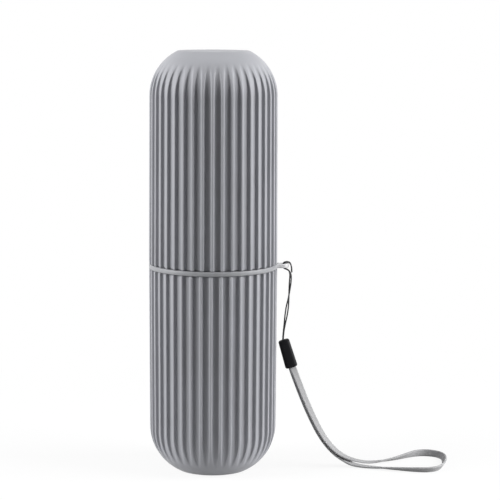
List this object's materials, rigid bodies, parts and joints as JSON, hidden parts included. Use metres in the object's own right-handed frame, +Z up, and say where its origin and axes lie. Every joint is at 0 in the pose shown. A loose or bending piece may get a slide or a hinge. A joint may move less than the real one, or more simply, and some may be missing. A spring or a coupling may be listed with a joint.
{
  "type": "toothbrush travel tube",
  "caption": "Capsule-shaped travel tube for toothbrushes: ribbed cups pushed onto a collar with a lug, a drop-in divider inside, and a wrist strap on a string.",
  "frame": {"origin": "middle of the flat base that the tube stands on", "axes": "+Z up along the tube's axis, +X from the axis towards the collar's lug"},
  "size_m": [0.1472, 0.062, 0.2032],
  "materials": {
    "cup_plastic": "satin grey polypropylene",
    "collar_plastic": "satin light grey polypropylene, slightly translucent",
    "divider_plastic": "satin pale grey polypropylene",
    "clasp_plastic": "fine-grained black plastic",
    "string_cord": "thin black braided cord",
    "strap_tape": "narrow grey woven tape"
  },
  "bodies": {
    "base": {"lower_cup": "cup_plastic"},
    "collar": {"collar": "collar_plastic", "lanyard_clasp": "clasp_plastic", "lanyard_string": "string_cord", "lanyard_strap": "strap_tape"},
    "cover": {"upper_cup": "cup_plastic"},
    "divider": {"divider": "divider_plastic"}
  },
  "joints": [
    {"name": "collar_turn", "type": "hinge", "parent": "base", "child": "collar", "pos_m": [0, 0, 0.0999], "axis": [0, 0, 1], "continuous": true},
    {"name": "cover_lift", "type": "slide", "parent": "collar", "child": "cover", "axis": [0, 0, 1], "range_m": [0, 0.1]},
    {"name": "divider_lift", "type": "slide", "parent": "collar", "child": "divider", "axis": [0, 0, 1], "range_m": [0, 0.035]}
  ]
}
